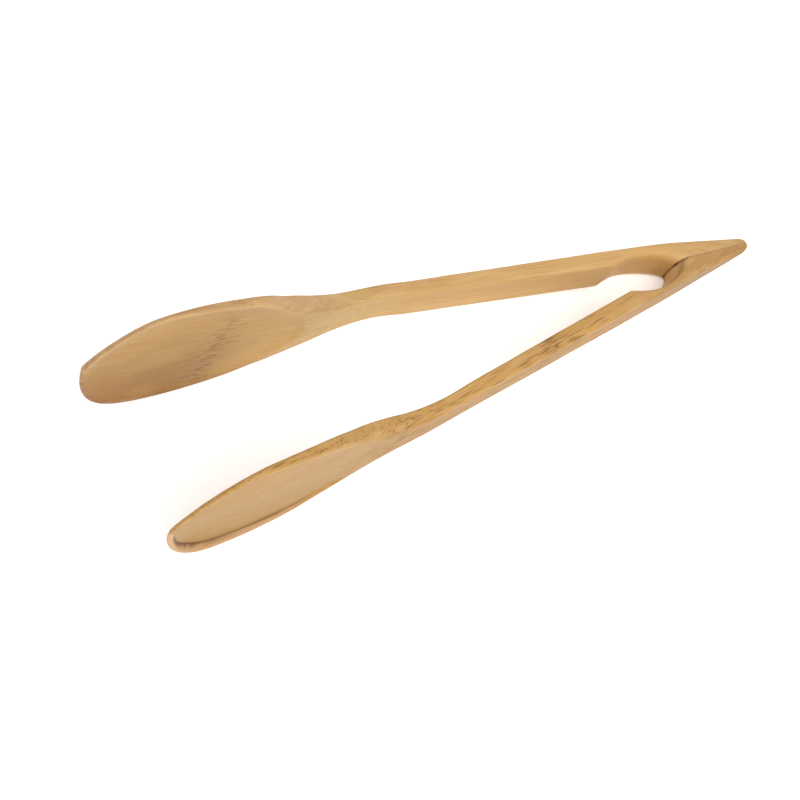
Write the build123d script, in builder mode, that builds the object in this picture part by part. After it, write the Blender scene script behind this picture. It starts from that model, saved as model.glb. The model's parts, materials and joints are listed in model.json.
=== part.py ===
"""Spring tongs carved from two mirrored bamboo halves, glued together at the tail.

A long oval hole just ahead of the glued tail leaves a thin, flat neck in each half. The necks are the
spring: they flex when the arms are pressed together and push them apart again. The tongs lie on one
side, on the lower edges of both paddles and on the tail, with the arms opening along Y.

Local directions: x runs from the tail tip to the paddle tips, y across the opening, z along the width.
"""

from build123d import *
import os
from math import atan2, cos, degrees, radians, sin, tan

# Overall sizes
overall_length = 305.0
handle_width = 17.2
paddle_width = 66.0
widest_at = 271.0
handle_end = 185.0

# Tail: pointed in plan, a wedge seen from the side
tail_taper_length = 46.0
tail_tip_radius = 1.6
tail_tip_half_thickness = 2.6
tail_tip_fillet = 2.2
glue_thickness = 0.3

# Arms: angles are measured from the middle plane
outer_face_angle = 7.88
inner_face_angle = 8.62
inner_gap_at = 83.0
inner_half_gap = 6.85

# Flex hole: an ellipse, drilled a little off the glue line
hole_at = 64.6
hole_length = 36.4
hole_height = 15.3
hole_offset = 0.65

# The neck pieces of each half, either side of the thinnest place
neck_start = 54.6
neck_end = 74.6

# Paddles: how far their outer and inner faces lie from the middle plane, at three places along each.
# They thin out towards the tip, and ease back from the straight line of the handle.
paddle_places = (215.0, 260.0, overall_length)
scooped_outer = (29.2, 30.4, 34.0)
scooped_inner = (23.3, 26.9, 31.8)
lipped_outer = (30.6, 33.2, 34.8)
lipped_inner = (24.2, 28.0, 30.6)

# The scoop is a shallow part of a sphere
scoop_at = 258.0
scoop_depth = 1.5
scoop_radius = 400.0

# The lip grows from nothing to its full height at the paddle tip
lip_start = 215.0
lip_height = 3.0
lip_width = 3.5

handle_half = handle_width / 2
paddle_half = paddle_width / 2
glue_half = glue_thickness / 2
cut_reach = 60.0

# The side that the tongs lie on touches the floor where the tail starts to taper and at the paddles.
lying_tilt = atan2(paddle_half - handle_half, widest_at - tail_taper_length)
along = Vector(cos(lying_tilt), 0, sin(lying_tilt))
across = Vector(0, 1, 0)
upward = Vector(-sin(lying_tilt), 0, cos(lying_tilt))


def outer_y(x):
    return tail_tip_half_thickness + x * tan(radians(outer_face_angle))


def inner_y(x):
    return inner_half_gap + (x - inner_gap_at) * tan(radians(inner_face_angle))


def plan_outline(plane):
    """The shape seen square to the wide faces: pointed tail, slim handle, wide rounded paddle."""
    taper = atan2(handle_half - tail_tip_radius, tail_taper_length - tail_tip_radius)
    tip_x = tail_tip_radius * (1 - sin(taper))
    tip_z = tail_tip_radius * cos(taper)
    with BuildSketch(plane) as outline:
        with BuildLine():
            tip = RadiusArc((0, 0), (tip_x, tip_z), tail_tip_radius)
            tail = Line(tip @ 1, (tail_taper_length, handle_half))
            handle = Line(tail @ 1, (handle_end, handle_half))
            flare = Spline(
                [handle @ 1, (228, 21.8), (widest_at, paddle_half)],
                tangents=[(1, 0), (1, 0)],
            )
            nose = Spline(
                [flare @ 1, (295, 22.6), (overall_length, 0)],
                tangents=[(1, 0), (0, -1)],
            )
            mirror(about=Plane.XZ)
        make_face()
    return outline.sketch


# The outline is measured once at the origin, so that the part can be centred and set down on Z = 0.
first_outline = plan_outline(Plane(origin=(0, 0, 0), x_dir=along, z_dir=-across))
outline_box = first_outline.bounding_box()
tail_tip = Vector(-(outline_box.min.X + outline_box.max.X) / 2, 0, -outline_box.min.Z)
plan_plane = Plane(origin=tail_tip, x_dir=along, z_dir=-across)
side_plane = Plane(origin=tail_tip, x_dir=along, z_dir=upward)
outline = plan_outline(plan_plane)
with BuildSketch(side_plane) as flex_hole:
    with Locations((hole_at, hole_offset)):
        Ellipse(hole_length / 2, hole_height / 2)


def trim_to_outline():
    extrude(outline, amount=cut_reach, both=True, mode=Mode.INTERSECT)


def cut_flex_hole():
    extrude(flex_hole.sketch, amount=cut_reach, both=True, mode=Mode.SUBTRACT)


def paddle_points(side, distances):
    return [(x, side * y) for x, y in zip(paddle_places, distances)]


def arm_edges(side, outer, inner):
    """The edges of an arm seen from the side, round from the neck to the paddle tip and back."""
    outer_slope = (1, side * tan(radians(outer_face_angle)))
    inner_slope = (1, side * tan(radians(inner_face_angle)))
    outer_line = Line((neck_end, side * outer_y(neck_end)), (handle_end, side * outer_y(handle_end)))
    inner_line = Line((neck_end, side * inner_y(neck_end)), (handle_end, side * inner_y(handle_end)))
    outer_points = [outer_line @ 1] + paddle_points(side, outer)
    inner_points = [inner_line @ 1] + paddle_points(side, inner)
    Spline(outer_points, tangents=[outer_slope, (1, side * 0.05)])
    Spline(inner_points, tangents=[inner_slope, (1, side * 0.11)])
    Line(outer_points[-1], inner_points[-1])
    Line(outer_line @ 0, inner_line @ 0)


os.makedirs("parts", exist_ok=True)

for half, side in (("scooped", -1), ("lipped", 1)):
    # The glued end: a wedge whose flat inner face meets the glue
    with BuildPart() as tail:
        with BuildSketch(side_plane) as wedge:
            with BuildLine():
                Polyline(
                    (0, side * glue_half),
                    (0, side * tail_tip_half_thickness),
                    (neck_start, side * outer_y(neck_start)),
                    (neck_start, side * glue_half),
                    close=True,
                )
            make_face()
            corner = wedge.vertices().sort_by(Axis(tail_tip, along))[:2].sort_by(Axis.Y)
            fillet(corner[0] if side < 0 else corner[-1], radius=tail_tip_fillet)
        extrude(amount=handle_half, both=True)
        trim_to_outline()
        cut_flex_hole()
    tail.part.label = f"{half}_tail"
    export_step(tail.part, f"parts/{half}_tail.step")

    # The thin stretch beside the hole, which bends
    with BuildPart() as neck:
        with BuildSketch(side_plane):
            with BuildLine():
                Polyline(
                    (neck_start, 0),
                    (neck_start, side * outer_y(neck_start)),
                    (neck_end, side * outer_y(neck_end)),
                    (neck_end, 0),
                    close=True,
                )
            make_face()
        extrude(amount=handle_half, both=True)
        cut_flex_hole()
    neck.part.label = f"{half}_neck"
    export_step(neck.part, f"parts/{half}_neck.step")

# The arm whose paddle has a shallow scoop in its inner face
with BuildPart() as scooped_arm:
    with BuildSketch(side_plane):
        with BuildLine():
            arm_edges(-1, scooped_outer, scooped_inner)
        make_face()
    extrude(amount=paddle_half, both=True)
    trim_to_outline()
    cut_flex_hole()
    face_rise = scooped_inner[2] - scooped_inner[0]
    face_angle = atan2(face_rise, paddle_places[2] - paddle_places[0])
    scoop_floor = scooped_inner[1] + scoop_depth
    centre_x = scoop_at + scoop_radius * sin(face_angle)
    centre_y = scoop_radius * cos(face_angle) - scoop_floor
    scoop_centre = side_plane.from_local_coords((centre_x, centre_y, 0))
    with Locations(scoop_centre):
        Sphere(scoop_radius, mode=Mode.SUBTRACT)
scooped_arm.part.label = "scooped_arm"
export_step(scooped_arm.part, "parts/scooped_arm.step")

# The arm whose paddle has a low lip on its outer face, along the lower edge and round the tip
with BuildPart() as lipped_arm:
    with BuildSketch(side_plane):
        with BuildLine():
            arm_edges(1, lipped_outer, lipped_inner)
        make_face()
    extrude(amount=paddle_half, both=True)
    trim_to_outline()
    cut_flex_hole()
    with BuildPart(mode=Mode.PRIVATE) as recess:
        with BuildSketch(side_plane):
            with BuildLine():
                Polyline(
                    (lip_start, lipped_outer[0]),
                    (overall_length, lipped_outer[2] - lip_height),
                    (overall_length, lipped_outer[2] + lip_height),
                    (lip_start, lipped_outer[2] + lip_height),
                    close=True,
                )
            make_face()
        extrude(amount=paddle_width, both=True)
        shifted = plan_outline(plan_plane.move(Location(upward * lip_width - along * lip_width)))
        extrude(shifted, amount=cut_reach, both=True, mode=Mode.INTERSECT)
    add(recess.part, mode=Mode.SUBTRACT)
lipped_arm.part.label = "lipped_arm"
export_step(lipped_arm.part, "parts/lipped_arm.step")

# The film of glue between the two tail halves, from the tail tip to the hole
with BuildPart() as glue_line:
    with BuildSketch(side_plane):
        with Locations((neck_start / 2, 0)):
            Rectangle(neck_start, glue_thickness)
    extrude(amount=handle_half, both=True)
    trim_to_outline()
    cut_flex_hole()
glue_line.part.label = "glue_line"
export_step(glue_line.part, "parts/glue_line.step")

print("tail tip at", tail_tip, "tilt", degrees(lying_tilt))
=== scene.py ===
import bpy
import json
from functools import partial
from math import pi, radians
from mathutils import Matrix, Vector


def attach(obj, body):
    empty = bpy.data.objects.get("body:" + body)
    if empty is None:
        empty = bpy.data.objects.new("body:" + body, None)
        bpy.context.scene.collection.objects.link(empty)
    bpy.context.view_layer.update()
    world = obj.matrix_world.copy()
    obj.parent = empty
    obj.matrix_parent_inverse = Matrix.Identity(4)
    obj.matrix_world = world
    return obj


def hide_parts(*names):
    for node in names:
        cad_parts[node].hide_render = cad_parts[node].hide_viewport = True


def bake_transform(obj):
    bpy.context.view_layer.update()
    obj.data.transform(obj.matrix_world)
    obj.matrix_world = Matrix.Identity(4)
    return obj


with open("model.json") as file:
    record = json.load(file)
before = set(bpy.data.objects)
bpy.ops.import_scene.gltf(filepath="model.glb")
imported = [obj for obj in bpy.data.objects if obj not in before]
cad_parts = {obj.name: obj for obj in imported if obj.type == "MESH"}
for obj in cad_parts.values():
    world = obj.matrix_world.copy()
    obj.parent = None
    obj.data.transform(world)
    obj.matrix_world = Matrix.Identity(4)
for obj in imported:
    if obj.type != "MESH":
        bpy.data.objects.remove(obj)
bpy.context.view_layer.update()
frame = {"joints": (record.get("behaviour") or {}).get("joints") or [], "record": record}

# The tongs' own directions: along from tail to paddles, up across the width, and Y across the opening
joints = {joint["name"]: joint for joint in frame["joints"]}
mounts = {mount["name"]: mount for mount in frame["record"]["mounts"]}
acrossAxis = Vector((0, 1, 0))
upAxis = Vector(joints["scooped_neck_flex"]["axis"]).normalized()
alongAxis = acrossAxis.cross(upAxis).normalized()

tongs = {  # millimetres, along from the tail tip and out from the middle plane
    "length": 305.0,
    "handleHalfWidth": 8.6,
    "paddleHalfWidth": 33.0,
    "widestAt": 271.0,
    "handleEnd": 185.0,
    "tailTaper": 46.0,
    "tailTipRadius": 1.6,
    "tailBlunt": 8.0,  # the tail is worn over this length, and this much is gone at its tip
    "tailTrim": 0.6,
    "glueHalf": 0.15,
    "holeAt": 64.6,  # centre of the drilled oval
    "holeOffset": 0.65,
    "holeTailEnd": 44.2,
    "holePower": 1.52,  # a little more pointed than an ellipse
    "holeRimLength": 4.8,  # how far the hole's rim is rounded over along the tongs
    "holeRimDepth": 4.5,  # how deep, at the glue
    "holeRimBelow": 0.3,  # the rim on the lower side is rounded this much as far
    "holeRimTurn": 0.23,  # share of the width over which the upper rim passes into the lower
    "holeArmReach": 22.0,
    "neckStart": 54.6,
    "neckEnd": 74.6,
}
holeCentre = Vector(mounts["hook_hole"]["pos_m"])
tailTip = holeCentre - alongAxis * (tongs["holeAt"] / 1000) - acrossAxis * (tongs["holeOffset"] / 1000)
lyingTilt = alongAxis.angle(Vector((1, 0, 0)))


def placeOnTongs(along, across, up):
    return tailTip + (alongAxis * along + acrossAxis * across + upAxis * up) / 1000


# Small helpers that add nodes to a tree and hand back their output socket

def joinValue(tree, socket, value):
    if isinstance(value, bpy.types.NodeSocket):
        tree.links.new(value, socket)
    else:
        socket.default_value = value


def calc(tree, operation, *values):
    node = tree.nodes.new("ShaderNodeMath")
    node.operation = operation
    for socket, value in zip(node.inputs, values):
        joinValue(tree, socket, value)
    return node.outputs[0]


def calcVector(tree, operation, *values):
    node = tree.nodes.new("ShaderNodeVectorMath")
    node.operation = operation
    for socket, value in zip(node.inputs, values):
        joinValue(tree, socket, value)
    return node.outputs["Value" if operation == "LENGTH" else "Vector"]


def product(tree, first, *others):
    for other in others:
        first = calc(tree, "MULTIPLY", first, other)
    return first


def ramp(tree, value, low, high, outLow=0.0, outHigh=1.0, smooth=True):
    node = tree.nodes.new("ShaderNodeMapRange")
    node.interpolation_type = "SMOOTHSTEP" if smooth else "LINEAR"
    for socket, number in zip(node.inputs[:5], (value, low, high, outLow, outHigh)):
        joinValue(tree, socket, number)
    return node.outputs[0]


def curveOf(tree, value, points, straightUntil=0.0):
    # a smooth curve through (input, output) points, both already brought to 0..1
    node = tree.nodes.new("ShaderNodeFloatCurve")
    curve = node.mapping.curves[0]
    node.mapping.use_clip = False
    while len(curve.points) < len(points):
        curve.points.new(0.5, 0.5)
    for point, place in zip(curve.points, points):
        point.location = place
        point.handle_type = "VECTOR" if place[0] < straightUntil else "AUTO"
    node.mapping.update()
    joinValue(tree, node.inputs["Value"], value)
    return node.outputs[0]


def xyz(tree, x, y, z):
    node = tree.nodes.new("ShaderNodeCombineXYZ")
    for socket, value in zip(node.inputs, (x, y, z)):
        joinValue(tree, socket, value)
    return node.outputs[0]


def pick(tree, condition, ifNo, ifYes):
    node = tree.nodes.new("GeometryNodeSwitch")
    node.input_type = "FLOAT"
    for socket, value in zip(node.inputs, (condition, ifNo, ifYes)):
        joinValue(tree, socket, value)
    return node.outputs[0]


placingInputs = {
    "Tail Tip": ("NodeSocketVector", None),
    "Tilt": ("NodeSocketVector", None),
    "Material": ("NodeSocketMaterial", None),
}


def newTree(name, inputs):
    tree = bpy.data.node_groups.new(name, "GeometryNodeTree")
    tree.interface.new_socket("Geometry", in_out="OUTPUT", socket_type="NodeSocketGeometry")
    for label, (kind, value) in (inputs | placingInputs).items():
        socket = tree.interface.new_socket(label, in_out="INPUT", socket_type=kind)
        if value is not None:
            socket.default_value = value
    return tree, tree.nodes.new("NodeGroupInput"), tree.nodes.new("NodeGroupOutput")


def tubeGrid(tree, stations, columns):
    # a grid to be rolled up into a tube: its mesh, and each point's share of the way along and round
    grid = tree.nodes.new("GeometryNodeMeshGrid")
    joinValue(tree, grid.inputs["Size X"], 1.0)
    joinValue(tree, grid.inputs["Size Y"], 1.0)
    joinValue(tree, grid.inputs["Vertices X"], stations)
    joinValue(tree, grid.inputs["Vertices Y"], calc(tree, "ADD", columns, 1.0))
    parts = tree.nodes.new("ShaderNodeSeparateXYZ")
    tree.links.new(tree.nodes.new("GeometryNodeInputPosition").outputs[0], parts.inputs[0])
    alongShare, roundShare = (calc(tree, "ADD", parts.outputs[axis], 0.5) for axis in "XY")
    return grid.outputs["Mesh"], alongShare, roundShare


def closeTube(tree, geometry, position):
    # moves the grid's points to their places and joins its seam and its ends
    move = tree.nodes.new("GeometryNodeSetPosition")
    tree.links.new(geometry, move.inputs["Geometry"])
    tree.links.new(position, move.inputs["Position"])
    merge = tree.nodes.new("GeometryNodeMergeByDistance")
    merge.inputs["Distance"].default_value = 0.002
    tree.links.new(move.outputs[0], merge.inputs["Geometry"])
    return merge.outputs[0]


def layDown(tree, geometry, given, result, smooth):
    # from millimetres along the tongs to metres in the frame, and on to the tree's output
    lay = tree.nodes.new("GeometryNodeTransform")
    tree.links.new(geometry, lay.inputs["Geometry"])
    tree.links.new(given.outputs["Tail Tip"], lay.inputs["Translation"])
    tree.links.new(given.outputs["Tilt"], lay.inputs["Rotation"])
    lay.inputs["Scale"].default_value = (0.001, 0.001, 0.001)
    geometry = lay.outputs[0]
    if smooth:
        shade = tree.nodes.new("GeometryNodeSetShadeSmooth")
        tree.links.new(geometry, shade.inputs["Geometry"])
        geometry = shade.outputs[0]
    realize = tree.nodes.new("GeometryNodeRealizeInstances")
    tree.links.new(geometry, realize.inputs[0])
    paint = tree.nodes.new("GeometryNodeSetMaterial")
    tree.links.new(realize.outputs[0], paint.inputs["Geometry"])
    tree.links.new(given.outputs["Material"], paint.inputs["Material"])
    tree.links.new(paint.outputs[0], result.inputs[0])


def growMesh(name, tree, settings):
    # runs a tree on an empty mesh and keeps its result as a plain mesh object
    holder = bpy.data.objects.new(name + "Holder", bpy.data.meshes.new(name + "Holder"))
    bpy.context.scene.collection.objects.link(holder)
    modifier = holder.modifiers.new("nodes", "NODES")
    modifier.node_group = tree
    identifiers = {item.name: item.identifier for item in tree.interface.items_tree if item.in_out == "INPUT"}
    for label, value in settings.items():
        modifier[identifiers[label]] = value
    shown = holder.evaluated_get(bpy.context.evaluated_depsgraph_get())
    mesh = bpy.data.meshes.new_from_object(shown)
    mesh.name = name
    bpy.data.objects.remove(holder)
    piece = bpy.data.objects.new(name, mesh)
    bpy.context.scene.collection.objects.link(piece)
    return piece


# The plan outline as a function of the place along the tongs, used by both halves and by the seam

outline = {
    # (along, half width) between the handle and the widest place
    "flare": ((196.0, 10.2), (207.0, 13.2), (228.0, 21.8), (250.0, 30.2)),
    "handlePins": (30.0, 6.0),  # the curve also passes through the handle's width this far before its end
    "widestPin": 12.0,  # and through the paddle's full width this far past its widest place
    "tailBlend": 2.5,
    "noseRoundness": 0.752,
    "noseTipRadius": 8.0,
    "noseTipReach": 2.5,
}


def makeOutlineGroup():
    group = bpy.data.node_groups.new("tongsOutline", "GeometryNodeTree")
    group.interface.new_socket("Along", in_out="INPUT", socket_type="NodeSocketFloat")
    group.interface.new_socket("Nose Power", in_out="INPUT", socket_type="NodeSocketFloat")
    group.interface.new_socket("Half Width", in_out="OUTPUT", socket_type="NodeSocketFloat")
    given, result = group.nodes.new("NodeGroupInput"), group.nodes.new("NodeGroupOutput")
    c = partial(calc, group)
    along = given.outputs["Along"]
    length, widest = tongs["length"], tongs["widestAt"]
    paddle, handle = tongs["paddleHalfWidth"], tongs["handleHalfWidth"]
    tip, taper = tongs["tailTipRadius"], tongs["tailTaper"]

    # the handle's straight sides, the flare and the paddle
    points = [(0.0, handle)] + [(tongs["handleEnd"] - pin, handle) for pin in outline["handlePins"]]
    points += list(outline["flare"])
    points += [(x, paddle) for x in (widest, widest + outline["widestPin"], length)]
    places = [(x / length, w / paddle) for x, w in points]
    body = c("MULTIPLY", curveOf(group, c("DIVIDE", along, length), places, 0.5), paddle)

    # the pointed tail, with an arc at its tip
    slope = (handle - tip) / (taper - tip)
    taperWidth = c("MULTIPLY_ADD", c("SUBTRACT", along, tip), slope, tip)
    tipArc = c("MULTIPLY", along, c("SUBTRACT", 2 * tip, along))
    tipArc = c("SQRT", c("MAXIMUM", tipArc, 0.0))
    atTip = c("LESS_THAN", along, tip)
    pastTip = c("SUBTRACT", 1.0, atTip)
    tailWidth = c("ADD", c("MULTIPLY", tipArc, atTip), c("MULTIPLY", taperWidth, pastTip))
    width = c("SMOOTH_MIN", tailWidth, body, outline["tailBlend"])

    # the nose narrows as a power of the way past the widest place, and ends in a small round
    nose = c("DIVIDE", c("SUBTRACT", along, widest), length - widest)
    nose = c("MINIMUM", c("MAXIMUM", nose, 0.0), 1.0)
    rest = c("SUBTRACT", 1.0, c("POWER", nose, given.outputs["Nose Power"]))
    width = c("MULTIPLY", width, c("POWER", rest, outline["noseRoundness"]))
    tipLeft = c("MAXIMUM", c("SUBTRACT", length, along), 0.0)
    tipFade = c("EXPONENT", c("DIVIDE", tipLeft, -outline["noseTipReach"]))
    tipRound = product(group, tipLeft, tipFade, outline["noseTipRadius"] * 2)
    width = c("SQRT", c("MULTIPLY_ADD", width, width, tipRound))
    group.links.new(width, result.inputs["Half Width"])
    return group


outlineGroup = makeOutlineGroup()


def halfWidthAt(tree, along, nosePower):
    node = tree.nodes.new("GeometryNodeGroup")
    node.node_tree = outlineGroup
    joinValue(tree, node.inputs["Along"], along)
    joinValue(tree, node.inputs["Nose Power"], nosePower)
    return node.outputs[0]


def tailTrimAt(tree, along):
    # the very end of the tail is worn blunt
    left = ramp(tree, along, 0.0, tongs["tailBlunt"], 1.0, 0.0, smooth=False)
    return calc(tree, "MULTIPLY", calc(tree, "MULTIPLY", left, left), tongs["tailTrim"])


def rimPartAt(tree, inside, rimDepth, upShare):
    # how much of the hole's rounded rim there is this far inside the outline: 1 at the outline, 0 at rimDepth
    rimPart = ramp(tree, inside, 0.0, rimDepth, 1.0, 0.0, smooth=False)
    left = calc(tree, "SUBTRACT", 1.0, calc(tree, "MULTIPLY", rimPart, rimPart))
    rimPart = calc(tree, "SUBTRACT", 1.0, calc(tree, "SQRT", left))
    turn = tongs["holeRimTurn"]
    upper = ramp(tree, upShare, -turn, turn, tongs["holeRimBelow"], 1.0)
    return calc(tree, "MULTIPLY", rimPart, upper)


# One carved half of the tongs. Its skin is a tube of cross sections, one for each station along it.
# From the sanding on, a pair of numbers says where something starts and where it is complete.

halfMesh = {
    "stations": 420,
    "faceColumns": 92,
    "wallColumns": 12,
    "tailStations": (0.02, 0.008),  # share of the stations, and of the length, used up at the tail's tip
    "holeStations": (0.09, 0.19),  # shares of the stations just before the hole's closed end, and past it
    "holeEndReach": (0.001, 0.028),  # how far before that end and past it, as shares of the length
    "noseStations": 0.88,  # share of the stations used up to the widest place
    "slopeStep": 0.4,
}
faces = {
    "depthUnit": 40.0,  # the face curves are kept as parts of this many millimetres
    "handlePlaces": (0.0, 90.0, 165.0, 185.0),
    "straightUntil": 0.55,  # share of the length
    "outerAtTip": 2.6,
    "outerSlope": 0.1384,
    "innerAt": 83.0,
    "innerGap": 6.85,
    "innerSlope": 0.1516,
    "tipRounding": (4.5, 2.3),  # how far along, how deep
    "stripSlope": 0.145,  # the fibres run straight along the strip that the half was cut from
}
sanding = {  # leaves the faces a little uneven
    "alongScale": 0.045,
    "upScale": 0.09,
    "depthScale": 0.6,
    "detail": 2.0,
    "height": 0.35,
    "innerFrom": (78.0, 100.0),  # none at the glue
    "widthShare": 0.012,
}
scoop = {
    "widens": (215.0, 243.0),
    "widenPower": 1.6,
    "startInset": 16.5,
    "inset": 1.0,
    "reach": 10.0,  # it has its full depth this far inside its own edge
    "rimOutside": (-1.4, -0.2),
    "rimInside": (1.2, 0.1),
    "rimUp": (-6.0, 8.0),
    "rimAlong": (218.0, 236.0),
    "rimDepthShare": (0.6, 0.4),
}
paddleBack = {
    "swells": (190.0, 250.0),
    "floorPerSink": 1.2,  # the lipped paddle keeps its thickness under the sunken face
    "leastFloor": 1.1,
    "bellyUp": (26.0, -10.0),
    "bellyInside": (2.0, 9.0),
    "bellyAlong": (302.0, 280.0),
}
lip = {
    "grows": (219.0, 292.0),
    "growPower": 0.62,
    "sinkUp": (14.0, -16.0),
    "sinkAlong": (304.0, 284.0),
    "sinkAtTip": 0.12,
    "narrows": (284.0, 302.0),
    "narrowing": 0.9,
    "wall": (1.3, 2.1),
    "grooveOutside": (1.5, 2.1),
    "grooveInside": (3.8, 2.4),
    "grooveDepth": 0.25,
    "seenUp": (1.5, -3.5),
    "creaseOutside": (1.8, 2.0),
    "creaseInside": (3.5, 2.7),
    "creaseHeight": (0.35, 0.95),
    "creaseUp": (-5.0, -10.0),
    "topInside": (2.1, 1.8),
    "topHeight": (0.2, 0.9),
}
edges = {
    "outer": 1.0,
    "inner": 1.0,
    "atGlue": 0.12,
    "shoulderFrom": (178.0, 204.0),
    "shoulderTo": (240.0, 206.0),
    "shoulderUp": (-2.0, 3.0),
    "tail": (85.0, 40.0),
    "tailExtra": 0.8,
    "paddle": (195.0, 240.0),
    "nose": (262.0, 296.0),
    "mostDrop": 0.42,  # share of the thickness
    "noseDropBack": 0.3,
    "noseDropFront": -0.2,
}
colourPlaces = {  # where the materials put painted shade and light on the hole's wall, painted shade on the shaded faces, and find the edges
    "wallHalfLength": 20.4,
    "wallHalfHeight": 7.9,
    "wallSpread": (1.4, 1.05),
    "wallInside": (0.6, 5.0),
    "wallAlong": (80.0, 62.0),
    "topInside": (1.4, 0.2),
    "topUp": (-1.0, 1.0),
    "topAlong": (225.0, 190.0),
    "outerDepth": (0.6, 0.95),
    "outerInside": (0.1, 0.9),
    "outerAlong": (236.0, 195.0),
    "edgeInside": (3.5, 0.8),
}
scoopedHalfShape = {
    "side": -1.0,
    "outer": ((215.0, 29.2), (245.0, 29.8), (275.0, 31.2), (305.0, 34.0)),
    "inner": ((215.0, 22.7), (245.0, 25.1), (275.0, 28.1), (305.0, 31.7)),
    "innerShift": 0.0,
    "scoopDepth": 1.5,
    "backCrown": 1.1,
    "lipHeight": 0.0,
    "belly": 0.0,
    "shoulderBevel": 0.6,
    "paddleEdge": 1.2,
    "holeAt": 66.0,
    "holeHalfHeight": 7.84,
    "rimSpread": 2.3,
    "rimDepth": 4.5,
    "backReachOuter": 3.2,
    "backReachInner": 1.0,
    "noseTrim": 0.0,
    "nosePower": 3.1,  # higher is blunter
    "shadedFace": "top",
    "waveSeed": 3.0,
}
lippedHalfShape = {
    "side": 1.0,
    "outer": ((215.0, 30.8), (245.0, 33.3), (275.0, 34.2), (305.0, 33.2)),
    "inner": ((215.0, 24.1), (245.0, 28.4), (275.0, 31.3), (305.0, 31.5)),
    "innerShift": 0.3,
    "scoopDepth": 0.0,
    "backCrown": 0.0,
    "lipHeight": 2.8,
    "belly": 1.4,
    "shoulderBevel": 3.2,
    "paddleEdge": 0.2,
    "holeAt": 61.0,
    "holeHalfHeight": 8.2,
    "rimSpread": 0.0,
    "rimDepth": 10.0,
    "backReachOuter": 1.0,
    "backReachInner": 3.2,
    "noseTrim": 1.9,  # this paddle ends a little short of the other
    "nosePower": 2.25,
    "shadedFace": "outer",
    "waveSeed": 8.0,
}


def faceCurve(tree, alongShare, shape, key, atTip, slope):
    # straight along the handle, then through the paddle's own places
    unit, length = faces["depthUnit"], tongs["length"]
    places = [(x, atTip + slope * x) for x in faces["handlePlaces"]] + list(shape[key])
    points = [(x / length, y / unit) for x, y in places]
    return calc(tree, "MULTIPLY", curveOf(tree, alongShare, points, faces["straightUntil"]), unit)


def keepAttribute(tree, geometry, label, kind, value):
    node = tree.nodes.new("GeometryNodeStoreNamedAttribute")
    node.data_type = kind
    node.domain = "POINT"
    node.inputs["Name"].default_value = label
    tree.links.new(geometry, node.inputs["Geometry"])
    joinValue(tree, node.inputs["Value"], value)
    return node.outputs["Geometry"]


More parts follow.
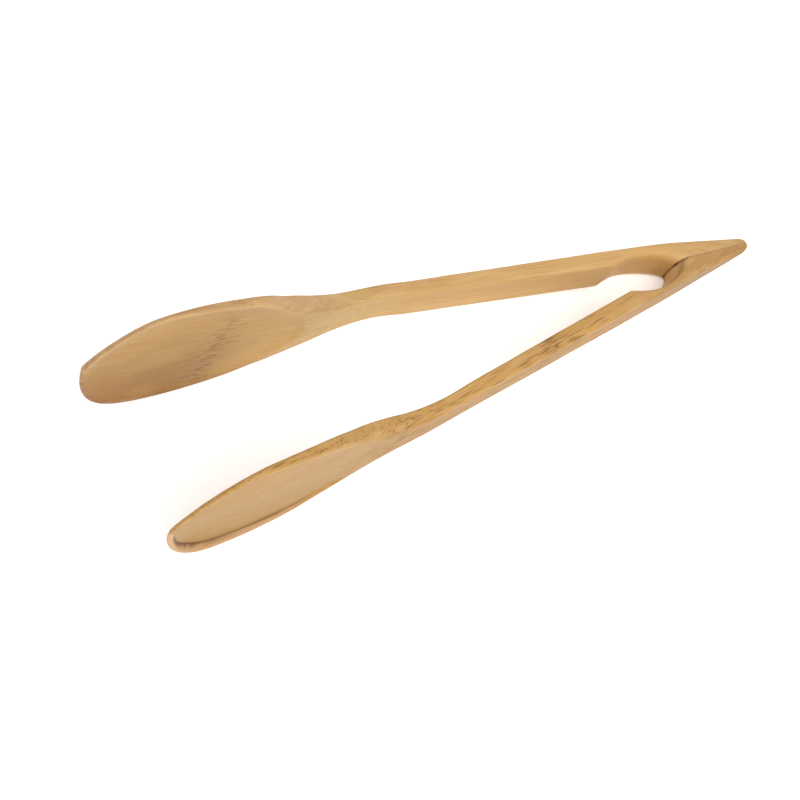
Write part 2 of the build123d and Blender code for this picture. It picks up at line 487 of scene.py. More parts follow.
def makeHalfTree(name, shape):
    inputs = {
        "Stations": ("NodeSocketInt", halfMesh["stations"]),
        "Face Columns": ("NodeSocketInt", halfMesh["faceColumns"]),
        "Wall Columns": ("NodeSocketInt", halfMesh["wallColumns"]),
        "Scoop Depth": ("NodeSocketFloat", shape["scoopDepth"]),
        "Lip Height": ("NodeSocketFloat", shape["lipHeight"]),
        "Belly": ("NodeSocketFloat", shape["belly"]),
        "Back Crown": ("NodeSocketFloat", shape["backCrown"]),
        "Shoulder Bevel": ("NodeSocketFloat", shape["shoulderBevel"]),
        "Rim Spread": ("NodeSocketFloat", shape["rimSpread"]),
        "Paddle Edge": ("NodeSocketFloat", shape["paddleEdge"]),
        "Wave Seed": ("NodeSocketFloat", shape["waveSeed"]),
        "Nose Trim": ("NodeSocketFloat", shape["noseTrim"]),
        "Nose Power": ("NodeSocketFloat", shape["nosePower"]),
        "Rim Depth": ("NodeSocketFloat", shape["rimDepth"]),
    }
    tree, given, result = newTree(name, inputs)
    g = given.outputs
    c = partial(calc, tree)
    times = partial(product, tree)
    length = tongs["length"]

    def between(value, ends, outLow=0.0, outHigh=1.0):
        return ramp(tree, value, *ends, outLow, outHigh)

    # one row of the grid for each station, one column for each place round the section
    faceColumns, wallColumns = g["Face Columns"], g["Wall Columns"]
    columns = c("MULTIPLY", c("ADD", faceColumns, wallColumns), 2.0)
    gridMesh, share, roundShare = tubeGrid(tree, g["Stations"], columns)
    column = c("MULTIPLY", roundShare, columns)

    # stations crowd together at the closed end of the hole and round the nose
    holeFrom, holeTo = halfMesh["holeStations"]
    beforeEnd, pastEnd = halfMesh["holeEndReach"]
    noseFrom = halfMesh["noseStations"]
    holeEnd = (tongs["holeTailEnd"] - tongs["holeRimLength"]) / length
    widest = tongs["widestAt"] / length
    bodyPoints = [(0.0, 0.0), halfMesh["tailStations"]]
    bodyPoints += [(holeFrom, holeEnd - beforeEnd), (holeTo, holeEnd + pastEnd)]
    bodyPoints += [(noseFrom, widest), (1.0, 1.0)]
    bodyShare = curveOf(tree, share, bodyPoints, straightUntil=1.1)
    noseTurn = ramp(tree, share, noseFrom, 1.0, 0.0, pi / 2, smooth=False)
    noseShare = c("MULTIPLY_ADD", c("SINE", noseTurn), 1 - widest, widest)
    along = c("MULTIPLY", pick(tree, c("GREATER_THAN", share, noseFrom), bodyShare, noseShare), length)

    # round the section: out over the outer face, down the far wall, back over the inner face, up again
    farWallEnd = c("ADD", faceColumns, wallColumns)
    faceBackEnd = c("ADD", farWallEnd, faceColumns)
    faceOut = ramp(tree, column, 0.0, faceColumns, smooth=False)
    wallOut = ramp(tree, column, faceColumns, farWallEnd, smooth=False)
    faceBack = ramp(tree, column, farWallEnd, faceBackEnd, smooth=False)
    wallBack = ramp(tree, column, faceBackEnd, columns, smooth=False)
    upShare = c("COSINE", c("MULTIPLY", c("SUBTRACT", faceOut, faceBack), pi))
    depthTurn = c("MULTIPLY", c("SUBTRACT", wallOut, wallBack), pi)
    depthShare = c("MULTIPLY_ADD", c("COSINE", depthTurn), 0.5, 0.5)

    # plan outline, and how far inside it each point lies
    step = halfMesh["slopeStep"]
    width = halfWidthAt(tree, along, g["Nose Power"])
    widthBefore = halfWidthAt(tree, c("SUBTRACT", along, step), g["Nose Power"])
    steep = c("DIVIDE", c("SUBTRACT", width, widthBefore), step)
    up = c("MULTIPLY", upShare, width)
    belowEdge = c("SUBTRACT", width, c("ABSOLUTE", up))
    inside = c("DIVIDE", belowEdge, c("SQRT", c("MULTIPLY_ADD", steep, steep, 1.0)))

    # outer and inner faces seen from the side
    alongShare = c("DIVIDE", along, length)
    innerAtTip = faces["innerGap"] + shape["innerShift"] - faces["innerAt"] * faces["innerSlope"]
    outer = faceCurve(tree, alongShare, shape, "outer", faces["outerAtTip"], faces["outerSlope"])
    inner = faceCurve(tree, alongShare, shape, "inner", innerAtTip, faces["innerSlope"])
    tipReach, tipDepth = faces["tipRounding"]
    tipPart = ramp(tree, along, tipReach, 0.0, smooth=False)
    tipArc = c("SQRT", c("SUBTRACT", 1.0, c("MULTIPLY", tipPart, tipPart)))
    outer = c("SUBTRACT", outer, c("MULTIPLY", c("SUBTRACT", 1.0, tipArc), tipDepth))

    # the oval hole, wider at its rounded rim
    rimPart = rimPartAt(tree, belowEdge, g["Rim Depth"], upShare)
    fromCentre = c("SUBTRACT", along, shape["holeAt"])
    tailReach = c("MULTIPLY_ADD", rimPart, tongs["holeRimLength"], shape["holeAt"] - tongs["holeTailEnd"])
    holeReach = pick(tree, c("GREATER_THAN", fromCentre, 0.0), tailReach, tongs["holeArmReach"])
    holeHeight = c("MULTIPLY_ADD", rimPart, g["Rim Spread"], shape["holeHalfHeight"])
    holePart = c("MINIMUM", c("DIVIDE", c("ABSOLUTE", fromCentre), holeReach), 1.0)
    holeArc = c("SUBTRACT", 1.0, c("POWER", holePart, tongs["holePower"]))
    holeArc = c("POWER", holeArc, 1 / tongs["holePower"])
    holeEdge = c("MULTIPLY_ADD", holeArc, holeHeight, shape["side"] * tongs["holeOffset"])
    onHole = c("GREATER_THAN", holeArc, 0.0)
    inner = c("MULTIPLY", inner, c("GREATER_THAN", along, tongs["holeAt"]))
    inner = c("MAXIMUM", inner, c("MULTIPLY", holeEdge, onHole))
    inner = c("MAXIMUM", inner, tongs["glueHalf"])

    # the unevenness of the faces
    wave = tree.nodes.new("ShaderNodeTexNoise")
    waveAlong = c("MULTIPLY", along, sanding["alongScale"])
    waveUp = c("MULTIPLY", up, sanding["upScale"])
    waveDepth = c("ADD", c("MULTIPLY", depthShare, sanding["depthScale"]), g["Wave Seed"])
    joinValue(tree, wave.inputs["Vector"], xyz(tree, waveAlong, waveUp, waveDepth))
    joinValue(tree, wave.inputs["Scale"], 1.0)
    joinValue(tree, wave.inputs["Detail"], sanding["detail"])
    uneven = c("SUBTRACT", wave.outputs["Fac"], 0.5)

    # the scoop in the inner face, and a painted highlight on the rim round it
    scoopTaper = c("SUBTRACT", 1.0, c("SQRT", ramp(tree, along, *scoop["widens"], smooth=False)))
    scoopTaper = c("POWER", scoopTaper, scoop["widenPower"])
    scoopInside = c("SUBTRACT", inside, scoop["inset"])
    scoopInside = c("SUBTRACT", scoopInside, c("MULTIPLY", scoopTaper, scoop["startInset"]))
    scoopLeft = c("SUBTRACT", 1.0, ramp(tree, scoopInside, 0.0, scoop["reach"], smooth=False))
    scoopPart = c("SUBTRACT", 1.0, c("MULTIPLY", scoopLeft, scoopLeft))
    scoopSink = c("MULTIPLY", scoopPart, g["Scoop Depth"])
    hasScoop = c("GREATER_THAN", g["Scoop Depth"], 0.1)
    scoopRimHighlight = times(between(scoopInside, scoop["rimOutside"]), between(scoopInside, scoop["rimInside"]))
    scoopRimHighlight = times(scoopRimHighlight, between(up, scoop["rimUp"]), hasScoop)
    scoopRimHighlight = times(scoopRimHighlight, between(depthShare, scoop["rimDepthShare"]), between(along, scoop["rimAlong"]))

    # the back of a paddle swells a little between its edges
    paddlePart = between(along, paddleBack["swells"])
    swell = c("MULTIPLY", c("SUBTRACT", 1.0, c("MULTIPLY", upShare, upShare)), paddlePart)
    crown = c("MULTIPLY", swell, g["Back Crown"])

    # the lip: the outer face sinks away towards its lower edge, and steps up again at the rim
    lipGrow = c("POWER", ramp(tree, along, *lip["grows"], smooth=False), lip["growPower"])
    lipFade = between(along, lip["sinkAlong"], lip["sinkAtTip"])
    sink = times(between(up, lip["sinkUp"]), lipFade, lipGrow, g["Lip Height"])
    insideLip = c("SUBTRACT", inside, between(along, lip["narrows"], 0.0, lip["narrowing"]))
    rimWall = ramp(tree, insideLip, *lip["wall"], smooth=False)
    groove = times(between(insideLip, lip["grooveInside"]), between(insideLip, lip["grooveOutside"]))
    groove = c("MULTIPLY", groove, lip["grooveDepth"])
    sinkHere = c("MULTIPLY", sink, c("ADD", rimWall, groove))

    # where the lip's crease and its top show: painted shade in the crease, a painted highlight on its top
    lipSeen = times(between(up, lip["seenUp"]), lipGrow, c("MULTIPLY", g["Lip Height"], 0.5))
    crease = times(between(insideLip, lip["creaseOutside"]), between(insideLip, lip["creaseInside"]))
    crease = times(crease, between(lipSeen, lip["creaseHeight"]), between(up, lip["creaseUp"]))
    lipTopHighlight = times(between(insideLip, lip["topInside"]), between(lipSeen, lip["topHeight"]))

    # both faces before their edges are rounded
    belly = times(between(up, paddleBack["bellyUp"]), lipGrow, g["Belly"])
    belly = times(belly, between(inside, paddleBack["bellyInside"]), between(along, paddleBack["bellyAlong"]))
    crowned = c("ADD", outer, crown)
    outerBase = c("SUBTRACT", crowned, sinkHere)
    innerBase = c("SUBTRACT", c("ADD", inner, scoopSink), belly)
    leastFloor = c("MULTIPLY", paddlePart, paddleBack["leastFloor"])
    floorThickness = c("MULTIPLY_ADD", sink, paddleBack["floorPerSink"], leastFloor)
    innerBase = c("MINIMUM", innerBase, c("SUBTRACT", crowned, floorThickness))
    thickness = c("SUBTRACT", outerBase, innerBase)

    # edges: pared away at the shoulder and the tail, thinned from the back round the nose
    shoulder = times(between(along, edges["shoulderFrom"]), between(along, edges["shoulderTo"]))
    shoulder = c("MULTIPLY", shoulder, between(up, edges["shoulderUp"]))
    edgeOuter = c("MULTIPLY_ADD", shoulder, g["Shoulder Bevel"], edges["outer"])
    edgeOuter = c("ADD", edgeOuter, between(along, edges["tail"], 0.0, edges["tailExtra"]))
    edgeInner = c("MULTIPLY_ADD", between(along, edges["paddle"]), g["Paddle Edge"], edges["inner"])
    atGlue = c("LESS_THAN", inner, tongs["glueHalf"] + 0.01)
    edgeInner = pick(tree, atGlue, edgeInner, edges["atGlue"])
    nose = between(along, edges["nose"])

    def rounding(edge, backReach):
        # how much a face drops beside the outline: a circle, or wider than deep at the nose
        reach = c("MULTIPLY_ADD", nose, backReach - 1.0, edge)
        noseDrop = edges["noseDropBack"] if backReach > 1 else edges["noseDropFront"]
        limit = c("MULTIPLY_ADD", nose, noseDrop, edges["mostDrop"])
        drop = c("MINIMUM", reach, c("MULTIPLY", thickness, limit))
        left = c("SUBTRACT", 1.0, c("MINIMUM", c("DIVIDE", inside, reach), 1.0))
        arc = c("SQRT", c("SUBTRACT", 1.0, c("MULTIPLY", left, left)))
        return c("MULTIPLY", drop, c("SUBTRACT", 1.0, arc))

    outerFace = c("SUBTRACT", outerBase, rounding(edgeOuter, shape["backReachOuter"]))
    outerFace = c("MULTIPLY_ADD", uneven, sanding["height"], outerFace)
    innerFace = c("ADD", innerBase, rounding(edgeInner, shape["backReachInner"]))
    innerUneven = between(along, sanding["innerFrom"], 0.0, sanding["height"])
    innerFace = c("ADD", innerFace, c("MULTIPLY", uneven, innerUneven))
    depth = c("ADD", innerFace, c("MULTIPLY", c("SUBTRACT", outerFace, innerFace), depthShare))
    upHere = c("MULTIPLY", up, c("MULTIPLY_ADD", uneven, sanding["widthShare"], 1.0))

    # the finished place of each point
    pastWidest = ramp(tree, along, tongs["widestAt"], length, smooth=False)
    placed = c("SUBTRACT", along, times(pastWidest, pastWidest, g["Nose Trim"]))
    placed = c("ADD", placed, tailTrimAt(tree, along))
    position = xyz(tree, placed, c("MULTIPLY", depth, shape["side"]), upHere)

    # what the materials read: the strip's own directions, where the wood gets painted shade and highlights,
    # and where it is handled
    where = colourPlaces
    grain = xyz(tree, along, c("SUBTRACT", depth, c("MULTIPLY", along, faces["stripSlope"])), upHere)
    holeAlong = c("DIVIDE", c("SUBTRACT", along, tongs["holeAt"]), where["wallHalfLength"])
    holeAcross = c("DIVIDE", depth, where["wallHalfHeight"])
    holeSpread = calcVector(tree, "LENGTH", xyz(tree, holeAlong, holeAcross, 0.0))
    # where the hole's wall gets painted shade on the scooped half and painted light on the lipped half
    holeWallShading = times(between(holeSpread, where["wallSpread"]), between(inside, where["wallInside"]))
    holeWallShading = c("MULTIPLY", holeWallShading, between(along, where["wallAlong"]))
    # painted shade on one face of the handle: its top on the scooped half, its outer face on the lipped half
    if shape["shadedFace"] == "top":
        shadedFace = times(between(inside, where["topInside"]), between(up, where["topUp"]))
        shadedFace = c("MULTIPLY", shadedFace, between(along, where["topAlong"]))
    else:
        shadedFace = times(between(depthShare, where["outerDepth"]), between(inside, where["outerInside"]))
        shadedFace = c("MULTIPLY", shadedFace, between(along, where["outerAlong"]))
    geometry = keepAttribute(tree, gridMesh, "grain", "FLOAT_VECTOR", grain)
    strengths = {
        # painted shade in the lip's crease
        "crease": crease,
        "holeWallShading": holeWallShading,
        "shadedFace": shadedFace,
        # painted highlight on the lip's top and on the scoop's rim
        "paintedHighlight": c("MAXIMUM", lipTopHighlight, scoopRimHighlight),
        "edge": between(inside, where["edgeInside"]),
    }
    for label, value in strengths.items():
        geometry = keepAttribute(tree, geometry, label, "FLOAT", value)

    geometry = closeTube(tree, geometry, position)
    if shape["side"] > 0:
        flip = tree.nodes.new("GeometryNodeFlipFaces")
        tree.links.new(geometry, flip.inputs["Mesh"])
        geometry = flip.outputs[0]
    layDown(tree, geometry, given, result, smooth=True)
    return tree


# Bamboo: pale honey, with dark fibre bundles that run along the strip and nodes that cross it

scoopedBamboo = {
    "light": (0.575, 0.36, 0.132),
    "dark": (0.42, 0.24, 0.075),
    "bundle": (0.18, 0.08, 0.022),
    "bundleAmount": 0.25,
    "streak": 0.035,  # higher makes the streaks shorter
    "poreAmount": 0.16,
    "bundleReach": (300.0, 330.0),  # the streaks fade out between these places along the tongs
    "toneAmount": 0.35,
    "worn": (0.60, 0.40, 0.2),
    "wearAmount": 0.3,
    "edgeTone": (0.84, 0.80, 0.98),  # the paddle's edges against the rest
    "faceShadeTint": (0.88, 0.84, 0.86),  # painted shade on the handle's shaded face, against the rest
    "tones": (  # along the tongs, and the tone there
        (0.0, (0.9, 0.88, 0.86)),
        (45.0, (0.97, 0.95, 0.92)),
        (95.0, (1, 1, 1)),
        (165.0, (1, 1, 1)),
        (200.0, (0.93, 0.98, 1.0)),
        (235.0, (1, 1, 1)),
    ),
    # painted shade darkens the hole's wall
    "wallShadingAmount": 0.1,
    "wallShadingColour": (0.2, 0.09, 0.025),
    # painted highlight on the scoop's rim
    "highlightAmount": 0.38,
    "highlightColour": (0.66, 0.45, 0.22),
    # the paddle's tone, with painted shade that grows towards its lower edge
    "paddleToneAndShade": (0.3, 0.145, 0.032),
    "shadeReach": (218.0, 268.0),  # the tone changes between these places
    "shadeAtTop": 0.3,
    "nodes": ((252.0, 0.08, 9.0, 0.95),),  # each one: along, lean across the width, jag length, strength
    "seed": 2.0,
}
lippedBamboo = {
    "light": (0.485, 0.28, 0.086),
    "dark": (0.35, 0.185, 0.05),
    "bundle": (0.155, 0.062, 0.014),
    "bundleAmount": 0.8,
    "streak": 0.08,
    "poreAmount": 0.62,
    "bundleReach": (203.0, 232.0),
    "toneAmount": 0.5,
    "worn": (0.56, 0.36, 0.16),
    "wearAmount": 0.3,
    "edgeTone": (1.12, 1.14, 1.14),
    # painted shade on the handle's outer face
    "faceShadeTint": (0.8, 0.73, 0.5),
    "tones": (
        (0.0, (0.78, 0.77, 0.82)),
        (45.0, (0.85, 0.84, 0.9)),
        (95.0, (1, 1, 1)),
        (165.0, (1, 1, 1)),
        (200.0, (0.96, 0.96, 0.94)),
        (235.0, (0.9, 0.88, 0.82)),
    ),
    # painted light brightens the hole's wall
    "wallShadingAmount": 0.85,
    "wallShadingColour": (0.75, 0.49, 0.24),
    # painted highlight on the lip's top
    "highlightAmount": 0.8,
    "highlightColour": (0.49, 0.29, 0.15),
    # the paddle's tone, with painted shade that grows towards its lower edge
    "paddleToneAndShade": (0.36, 0.198, 0.056),
    "shadeReach": (190.0, 245.0),
    "shadeAtTop": 0.7,
    "nodes": ((124.5, 0.05, 9.0, 0.85),),
    "seed": 11.0,
}

bambooPattern = {
    # scale along the strip, scale across it, shift, detail and roughness of each noise
    "tone": (0.008, 0.16, 0.0, 3.0, 0.5),
    "fibre": (0.03, 2.1, 5.0, 4.0, 0.6),
    "cloud": (0.035, 0.07, 9.0, 2.0, 0.5),
    "patches": (0.03, 0.3, 15.0, 3.0, 0.65),
    "wear": (0.05, 0.3, 41.0, 3.0, 0.5),
    "flecks": (0.2, 1.5, 21.0, 3.0, 0.6),
    "strokes": (0.4, 0.5, 33.0, 2.0, 0.5),
    "jagScales": (0.03, 0.7, 0.75),
    "cells": (1.25, 3.0),  # scale across and shift: the scale along is each look's own
    "cellScatter": 0.9,
    "pores": (0.07, 2.1, 27.0),
    # where each noise starts to show, and where it shows in full
    "toneCut": (0.32, 0.68),
    "fibreCut": (0.35, 0.75),
    "cloudCut": (0.5, 0.8),
    "cellCut": (0.42, 0.16),
    "patchCut": (0.34, 0.54),
    "poreCut": (0.4, 0.15),
    "wearCut": (0.45, 0.7),
    "fibreAmount": 0.3,
    "cloudAmount": 0.25,
    "shadeUp": (30.0, -30.0),
    # places along the tongs, and the shares at their two ends
    "holeFade": (66.0, 92.0, 0.3, 1.0),
    "paddleBundles": 0.12,
    "edgeBundles": (150.0, 190.0),
    "poresGrow": (60.0, 190.0, 0.45, 1.0),
    "poresFade": (250.0, 215.0, 0.12, 1.0),
    "paddleEdges": (195.0, 215.0),
    # a node's strokes and flecks
    "wander": 3.0,
    "strokeReach": (1.5, 0.2),
    "strokeCut": (0.4, 0.55, 0.15),
    "fleckCut": (0.5, 0.62),
    "fleckAmount": 0.75,
    "marksUp": (30.0, 8.0, 0.35, 1.0),
    # painted shade in the lip's crease
    "creaseShadeAmount": 0.92,
    "creaseShadeColour": (0.11, 0.045, 0.015),
    "roughFrom": (0.3, 0.7, 0.42, 0.56),
    "bundleRough": 0.15,
    "bundleDepth": 0.8,
    "specular": 0.22,
    "bumpStrength": 0.25,
    "bumpDistance": 0.00015,
}


def mixColour(tree, share, a, b, blend="MIX"):
    node = tree.nodes.new("ShaderNodeMix")
    node.data_type = "RGBA"
    node.blend_type = blend
    joinValue(tree, node.inputs[0], share)
    for socket, value in zip((node.inputs[6], node.inputs[7]), (a, b)):
        joinValue(tree, socket, value if isinstance(value, bpy.types.NodeSocket) else (*value, 1.0))
    return node.outputs[2]


def tinted(tree, share, base, tint):
    # the base colour times a tint, as far as share says
    return mixColour(tree, share, base, mixColour(tree, 1.0, base, tint, "MULTIPLY"))


def noiseOf(tree, place, detail, rough):
    node = tree.nodes.new("ShaderNodeTexNoise")
    joinValue(tree, node.inputs["Vector"], place)
    node.inputs["Scale"].default_value = 1.0
    node.inputs["Detail"].default_value = detail
    node.inputs["Roughness"].default_value = rough
    return node.outputs[0]


def spotsOf(tree, place, scatter=1.0):
    node = tree.nodes.new("ShaderNodeTexVoronoi")
    joinValue(tree, node.inputs["Vector"], place)
    node.inputs["Scale"].default_value = 1.0
    node.inputs["Randomness"].default_value = scatter
    return node.outputs["Distance"]


def attributeOf(tree, name, output="Fac"):
    node = tree.nodes.new("ShaderNodeAttribute")
    node.attribute_name = name
    return node.outputs[output]


def addBump(tree, shader, height, strength, distance):
    bump = tree.nodes.new("ShaderNodeBump")
    bump.inputs["Strength"].default_value = strength
    bump.inputs["Distance"].default_value = distance
    tree.links.new(height, bump.inputs["Height"])
    tree.links.new(bump.outputs[0], shader.inputs["Normal"])


def driftOf(tree, along, tones):
    # the strip's tone drifts along its length
    reach = tongs["length"] * 1.1
    node = tree.nodes.new("ShaderNodeValToRGB")
    joinValue(tree, node.inputs[0], calc(tree, "DIVIDE", along, reach))
    stops = node.color_ramp.elements
    while len(stops) < len(tones):
        stops.new(0.5)
    for stop, (place, colour) in zip(stops, tones):
        stop.position = place / reach
        stop.color = (*colour, 1.0)
    return node.outputs[0]


def makeBamboo(name, look):
    material = bpy.data.materials.new(name)
    material.use_nodes = True
    tree = material.node_tree
    c = partial(calc, tree)
    times = partial(product, tree)
    pattern = bambooPattern
    shader = tree.nodes["Principled BSDF"]
    parts = tree.nodes.new("ShaderNodeSeparateXYZ")
    tree.links.new(attributeOf(tree, "grain", "Vector"), parts.inputs[0])
    along, depth, up = parts.outputs
    edge = attributeOf(tree, "edge")

    def stretched(alongScale, acrossScale, shift):
        alongPlace = c("MULTIPLY_ADD", along, alongScale, look["seed"] + shift)
        return xyz(tree, alongPlace, c("MULTIPLY", depth, acrossScale), c("MULTIPLY", up, acrossScale))

    def noise(key):
        *place, detail, rough = pattern[key]
        return noiseOf(tree, stretched(*place), detail, rough)

    # broad bands of tone, then fine fibres, the paddle's tone with painted shade growing towards its lower
    # edge, and pale clouds
    fibre = noise("fibre")
    toneShare = ramp(tree, noise("tone"), *pattern["toneCut"], 0.0, look["toneAmount"])
    base = mixColour(tree, toneShare, look["light"], look["dark"])
    fibreShare = ramp(tree, fibre, *pattern["fibreCut"], 0.0, pattern["fibreAmount"])
    base = mixColour(tree, fibreShare, base, look["dark"])
    shadeUp = ramp(tree, up, *pattern["shadeUp"], look["shadeAtTop"], 1.0)
    base = mixColour(tree, times(ramp(tree, along, *look["shadeReach"]), shadeUp), base, look["paddleToneAndShade"])
    cloudShare = ramp(tree, noise("cloud"), *pattern["cloudCut"], 0.0, pattern["cloudAmount"])
    base = mixColour(tree, cloudShare, base, look["light"])

    # dark fibre bundles in patches on the handle and the paddle's edges, and pores where the handle flares
    cells = spotsOf(tree, stretched(look["streak"], *pattern["cells"]), pattern["cellScatter"])
    patches = ramp(tree, noise("patches"), *pattern["patchCut"], 0.0, look["bundleAmount"])
    bundle = times(ramp(tree, cells, *pattern["cellCut"]), patches)
    onHandle = ramp(tree, along, *look["bundleReach"], 1.0, pattern["paddleBundles"])
    onHandle = times(ramp(tree, along, *pattern["holeFade"]), onHandle)
    onEdge = times(edge, ramp(tree, along, *pattern["edgeBundles"]))
    bundle = times(bundle, c("MAXIMUM", onHandle, onEdge))
    flare = times(ramp(tree, along, *pattern["poresGrow"]), ramp(tree, along, *pattern["poresFade"]))
    pores = ramp(tree, spotsOf(tree, stretched(*pattern["pores"])), *pattern["poreCut"])
    bundle = c("MAXIMUM", bundle, times(pores, times(flare, look["poreAmount"])))
    base = mixColour(tree, bundle, base, look["bundle"])

    # tints: along the strip, on the paddle's edges and painted shade on the shaded face, then handled edges
    # rubbed paler
    base = mixColour(tree, 1.0, base, driftOf(tree, along, look["tones"]), "MULTIPLY")
    base = tinted(tree, times(edge, ramp(tree, along, *pattern["paddleEdges"])), base, look["edgeTone"])
    base = tinted(tree, attributeOf(tree, "shadedFace"), base, look["faceShadeTint"])
    wear = times(ramp(tree, noise("wear"), *pattern["wearCut"]), times(edge, look["wearAmount"]))
    base = mixColour(tree, wear, base, look["worn"])

    # nodes: dark strokes that jump to and fro as they cross the strip, with short flecks either side
    jagPlace = [c("MULTIPLY", part, scale) for part, scale in zip((along, depth, up), pattern["jagScales"])]
    jag = noiseOf(tree, xyz(tree, *jagPlace), 2.0, 0.6)
    flecks = noise("flecks")
    strokes = noise("strokes")
    for place, lean, jagLength, strength in look["nodes"]:
        wander = c("MULTIPLY", c("SUBTRACT", jag, 0.5), jagLength * pattern["wander"])
        off = c("SUBTRACT", c("SUBTRACT", along, place), c("MULTIPLY_ADD", up, lean, wander))
        off = c("ABSOLUTE", off)
        line = ramp(tree, strokes, *pattern["strokeCut"], strength)
        line = times(ramp(tree, off, *pattern["strokeReach"]), line)
        fleck = ramp(tree, flecks, *pattern["fleckCut"], 0.0, strength * pattern["fleckAmount"])
        fleck = times(ramp(tree, off, jagLength, 1.0), fleck)
        marks = times(c("MAXIMUM", line, fleck), ramp(tree, up, *pattern["marksUp"]))
        base = mixColour(tree, marks, base, look["bundle"])

    # painted highlights on the lip's top and the scoop's rim, painted shade in the crease, and on the hole's
    # wall painted shade on the scooped half and painted light on the lipped half
    highlightShare = times(attributeOf(tree, "paintedHighlight"), look["highlightAmount"])
    base = mixColour(tree, highlightShare, base, look["highlightColour"])
    creaseShadeShare = times(attributeOf(tree, "crease"), pattern["creaseShadeAmount"])
    base = mixColour(tree, creaseShadeShare, base, pattern["creaseShadeColour"])
    wallShadingShare = times(attributeOf(tree, "holeWallShading"), look["wallShadingAmount"])
    base = mixColour(tree, wallShadingShare, base, look["wallShadingColour"])
    tree.links.new(base, shader.inputs["Base Color"])
    rough = c("ADD", ramp(tree, fibre, *pattern["roughFrom"]), times(bundle, pattern["bundleRough"]))
    tree.links.new(rough, shader.inputs["Roughness"])
    shader.inputs["Specular IOR Level"].default_value = pattern["specular"]
    height = c("SUBTRACT", fibre, times(bundle, pattern["bundleDepth"]))
    addBump(tree, shader, height, pattern["bumpStrength"], pattern["bumpDistance"])
    return material


tiltTurn = (0.0, -lyingTilt, 0.0)


def makeHalf(name, shape, look, tailNode, neckNode, armNode):
    tree = makeHalfTree(name + "Tree", shape)
    material = makeBamboo(name + "Bamboo", look)
    piece = growMesh(name, tree, {"Tail Tip": tailTip, "Tilt": tiltTurn, "Material": material})
    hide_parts(tailNode, neckNode, armNode)
    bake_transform(piece)
    print(name, len(piece.data.polygons), "faces")


makeHalf("scoopedHalf", scoopedHalfShape, scoopedBamboo,
         "scooped_tail", "scooped_neck", "scooped_arm")
makeHalf("lippedHalf", lippedHalfShape, lippedBamboo,
         "lipped_tail", "lipped_neck", "lipped_arm")

# The glue film between the tail halves, squeezed out a little here and there

seam = {
    "stations": 150,
    "columns": 48,
    "start": 0.12,
    "beforeHole": 0.1,
    "proud": 0.02,
    "beads": 0.1,
    "beadScale": 0.35,
    "beadSeed": 4.0,
    "beadLevel": 0.55,
    "nosePower": 2.0,  # the outline asks for it, but it has no effect on the tail
    "endShare": 0.01,  # the film thins out to nothing over this share of its length at each end
    "colour": (0.30, 0.15, 0.05),
    "paleColour": (0.42, 0.25, 0.1),
    "spotScale": 600.0,
    "gapColour": (0.06, 0.022, 0.01),
    "gaps": ((39.6, 8.6, 1.7), (43.4, 3.6, 2.0)),  # where the glue missed: along, up, reach
    "bumpStrength": 0.3,
    "bumpDistance": 0.0001,
}


def makeSeamTree():
    inputs = {
        "Stations": ("NodeSocketInt", seam["stations"]),
        "Columns": ("NodeSocketInt", seam["columns"]),
        "Half Thickness": ("NodeSocketFloat", tongs["glueHalf"]),
        "Beads": ("NodeSocketFloat", seam["beads"]),
    }
    tree, given, result = newTree("seamTree", inputs)
    g = given.outputs
    c = partial(calc, tree)
    gridMesh, share, roundShare = tubeGrid(tree, g["Stations"], c("MULTIPLY", g["Columns"], 2.0))
    turn = c("MULTIPLY", roundShare, 2 * pi)
    upShare = c("COSINE", turn)

    # the film ends at the hole, whose rim is rounded over
    straight = c("MULTIPLY", share, tongs["holeTailEnd"] - seam["beforeHole"])
    inside = c("MULTIPLY", c("SUBTRACT", 1.0, c("ABSOLUTE", upShare)), tongs["handleHalfWidth"])
    rimPart = rimPartAt(tree, inside, tongs["holeRimDepth"], upShare)
    along = c("MULTIPLY_ADD", c("MULTIPLY", rimPart, share), -tongs["holeRimLength"], straight)
    along = c("ADD", c("ADD", along, seam["start"]), tailTrimAt(tree, along))

    # its edge beads out of the joint here and there, and it thins out to nothing at both ends
    beadPlace = xyz(tree, c("MULTIPLY", along, seam["beadScale"]), upShare, seam["beadSeed"])
    bead = noiseOf(tree, beadPlace, 3.0, 0.6)
    proud = c("MULTIPLY_ADD", c("SUBTRACT", bead, seam["beadLevel"]), g["Beads"], seam["proud"])
    width = c("ADD", halfWidthAt(tree, along, seam["nosePower"]), proud)
    endShare = seam["endShare"]
    ends = c("MULTIPLY", ramp(tree, share, 0.0, endShare), ramp(tree, share, 1.0, 1.0 - endShare))
    side = c("SINE", turn)
    across = product(tree, c("SIGN", side), ends, g["Half Thickness"])
    across = c("MULTIPLY", across, c("GREATER_THAN", c("ABSOLUTE", side), 0.001))
    position = xyz(tree, along, across, c("MULTIPLY", upShare, width))
    layDown(tree, closeTube(tree, gridMesh, position), given, result, smooth=False)
    return tree


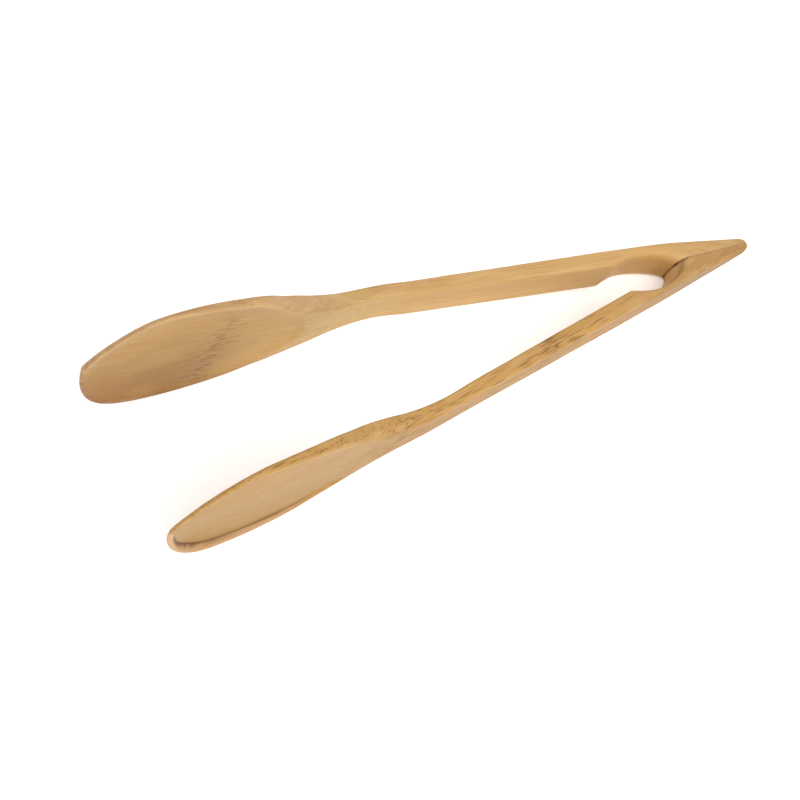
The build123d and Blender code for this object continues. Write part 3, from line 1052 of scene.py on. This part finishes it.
def makeGlue():
    material = bpy.data.materials.new("driedGlue")
    material.use_nodes = True
    tree = material.node_tree
    shader = tree.nodes["Principled BSDF"]
    place = tree.nodes.new("ShaderNodeTexCoord").outputs["Object"]
    spots = noiseOf(tree, calcVector(tree, "MULTIPLY", place, (seam["spotScale"],) * 3), 3.0, 0.6)
    base = mixColour(tree, ramp(tree, spots, 0.35, 0.65), seam["colour"], seam["paleColour"])
    for along, up, reach in seam["gaps"]:
        gap = tuple(placeOnTongs(along, 0, up))
        off = calcVector(tree, "LENGTH", calcVector(tree, "SUBTRACT", place, gap))
        base = mixColour(tree, ramp(tree, off, reach / 1000, reach / 2000), base, seam["gapColour"])
    tree.links.new(base, shader.inputs["Base Color"])
    tree.links.new(ramp(tree, spots, 0.3, 0.7, 0.35, 0.6), shader.inputs["Roughness"])
    addBump(tree, shader, spots, seam["bumpStrength"], seam["bumpDistance"])
    return material


glueSettings = {"Tail Tip": tailTip, "Tilt": tiltTurn, "Material": makeGlue()}
glueSeam = growMesh("glueSeam", makeSeamTree(), glueSettings)
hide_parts("glue_line")
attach(glueSeam, "tail")
print("glueSeam", len(glueSeam.data.polygons), "faces")

# Floor, light and camera

studio = {
    "floorSize": 3.0,  # metres from the middle to each side
    "floorDrop": 0.0002,
    "floorColour": (0.985, 0.985, 0.985),
    "floorGlow": 0.28,
    "worldStrength": 0.88,
    "lampPlace": (-0.1, 0.9, 1.5),
    "lampSize": 1.8,
    "lampPower": 24.0,
    "aim": (32.6, 11.2, 12.0),
    "azimuth": 117.63,
    "elevation": 58.32,
    "roll": -37.23,
    "distance": 0.8819,
    "lens": 105.5,
}


def makeFloor():
    mesh = bpy.data.meshes.new("floor")
    size = studio["floorSize"]
    corners = [(-size, -size, 0), (size, -size, 0), (size, size, 0), (-size, size, 0)]
    mesh.from_pydata(corners, [], [(0, 1, 2, 3)])
    floor = bpy.data.objects.new("floor", mesh)
    bpy.context.scene.collection.objects.link(floor)
    floor.location.z = -studio["floorDrop"]
    material = bpy.data.materials.new("paleFloor")
    material.use_nodes = True
    shader = material.node_tree.nodes["Principled BSDF"]
    shader.inputs["Base Color"].default_value = (*studio["floorColour"], 1.0)
    shader.inputs["Roughness"].default_value = 0.9
    shader.inputs["Emission Color"].default_value = (1.0, 1.0, 1.0, 1.0)
    shader.inputs["Emission Strength"].default_value = studio["floorGlow"]
    mesh.materials.append(material)


def makeLamp():
    light = bpy.data.lights.new("overhead", "AREA")
    light.size = studio["lampSize"]
    light.energy = studio["lampPower"]
    lamp = bpy.data.objects.new("overhead", light)
    bpy.context.scene.collection.objects.link(lamp)
    lamp.location = studio["lampPlace"]
    lamp.rotation_euler = Vector(studio["lampPlace"]).to_track_quat("Z", "Y").to_euler()


def makeCamera():
    camera = bpy.data.objects.new("camera", bpy.data.cameras.new("camera"))
    bpy.context.scene.collection.objects.link(camera)
    camera.data.lens = studio["lens"]
    camera.data.sensor_width = 36.0
    turn = Matrix.Rotation(radians(studio["azimuth"]), 4, "Z")
    turn = turn @ Matrix.Rotation(radians(90 - studio["elevation"]), 4, "X")
    turn = turn @ Matrix.Rotation(radians(-studio["roll"]), 4, "Z")
    aim = Vector(studio["aim"]) / 1000
    camera.matrix_world = Matrix.Translation(aim) @ turn @ Matrix.Translation((0, 0, studio["distance"]))
    bpy.context.scene.camera = camera


makeFloor()
makeLamp()
makeCamera()
world = bpy.data.worlds.new("softWhite")
world.use_nodes = True
world.node_tree.nodes["Background"].inputs["Color"].default_value = (1.0, 1.0, 1.0, 1.0)
world.node_tree.nodes["Background"].inputs["Strength"].default_value = studio["worldStrength"]
bpy.context.scene.world = world
bpy.context.scene.view_settings.view_transform = "Standard"
print("stage ready")
